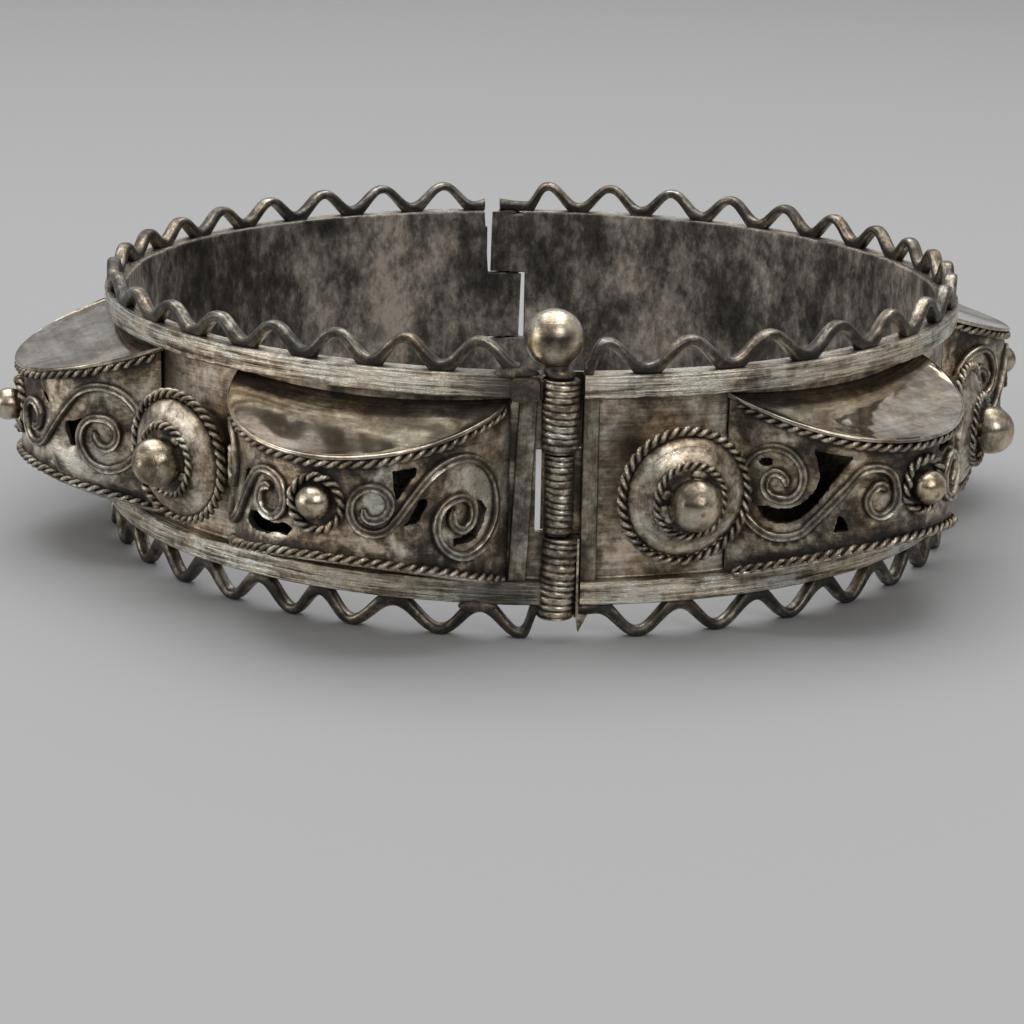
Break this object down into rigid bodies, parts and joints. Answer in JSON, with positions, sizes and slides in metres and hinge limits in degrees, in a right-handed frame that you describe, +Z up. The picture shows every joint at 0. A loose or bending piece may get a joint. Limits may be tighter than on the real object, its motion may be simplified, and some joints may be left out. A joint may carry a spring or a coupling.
{
  "type": "hinged bangle bracelet",
  "caption": "Old silver hinged bangle in two halves with wavy wire galleries, pierced crescent boxes with scroll wires, round bosses and a ball-headed clasp pin.",
  "frame": {"origin": "centre of the bounding box in plan, on the ground under the lower gallery", "axes": "+Z up along the wrist axis with the bangle lying flat, -Y towards the clasp and +Y towards the hinge, +X towards the half that opens"},
  "size_m": [0.0786, 0.0732, 0.0223],
  "materials": {
    "band": "worn, scratched old silver, dark brown inside",
    "gallery": "dark tarnished silver wire, rubbed bright on its edges",
    "box": "worn silver, polished sloping plates, dark in the recesses",
    "scroll": "silver wire, bright on top, tarnished at its foot",
    "boss": "warm tarnished silver with a rubbed ball",
    "pin": "polished yellowish silver ball, dull shank",
    "hinge": "dark tarnished silver"
  },
  "bodies": {
    "left_half": {"left_band": "band", "left_gallery_top": "gallery", "left_gallery_bottom": "gallery", "left_box_1": "box", "left_box_2": "box", "left_box_3": "box", "left_scrolls_1": "scroll", "left_scrolls_2": "scroll", "left_scrolls_3": "scroll", "left_boss_1": "boss", "left_boss_2": "boss", "left_boss_3": "boss", "hinge_pin": "hinge"},
    "right_half": {"right_band": "band", "right_gallery_top": "gallery", "right_gallery_bottom": "gallery", "right_box_1": "box", "right_box_2": "box", "right_box_3": "box", "right_scrolls_1": "scroll", "right_scrolls_2": "scroll", "right_scrolls_3": "scroll", "right_boss_1": "boss", "right_boss_2": "boss", "right_boss_3": "boss"},
    "clasp_pin_body": {"clasp_pin": "pin"}
  },
  "joints": [
    {"name": "hinge", "type": "hinge", "parent": "left_half", "child": "right_half", "pos_m": [0, 0.0312, 0.0102], "axis": [0, 0, 1], "range_deg": [0, 75]},
    {"name": "clasp_pin_slide", "type": "slide", "parent": "left_half", "child": "clasp_pin_body", "axis": [0, 0, 1], "range_m": [0, 0.018]}
  ]
}
